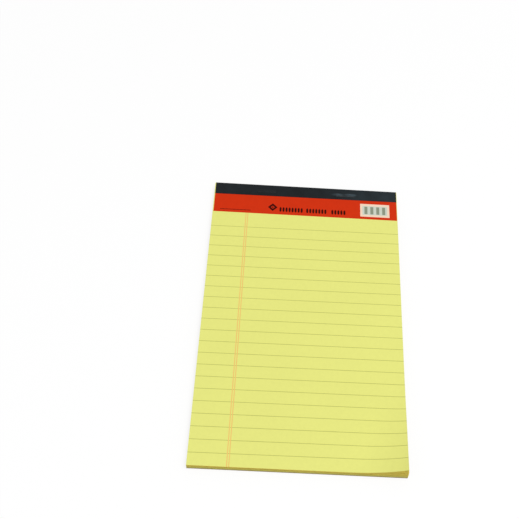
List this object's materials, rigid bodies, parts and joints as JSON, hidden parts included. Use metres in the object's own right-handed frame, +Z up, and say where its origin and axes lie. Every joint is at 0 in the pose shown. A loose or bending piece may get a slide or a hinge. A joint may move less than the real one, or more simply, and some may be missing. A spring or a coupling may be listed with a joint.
{
  "type": "legal pad",
  "caption": "Junior legal pad: a block of ruled yellow sheets on a backing board, bound along the top edge with staples, a red printed header strip and a black folded tape; one corner curls up.",
  "frame": {"origin": "centre of the pad's underside, at the middle of its width and of its length", "axes": "+X to the right across the ruled page, +Y along the page towards the bound top edge, +Z up out of the page"},
  "size_m": [0.127, 0.2032, 0.0122],
  "materials": {
    "sheets": "matte",
    "board": "matte",
    "header": "satin",
    "tape": "satin",
    "wire": "satin"
  },
  "bodies": {
    "root": {"sheet_block": "sheets", "backing_board": "board", "header_strip": "header", "binding_tape": "tape", "staples": "wire"}
  },
  "joints": []
}
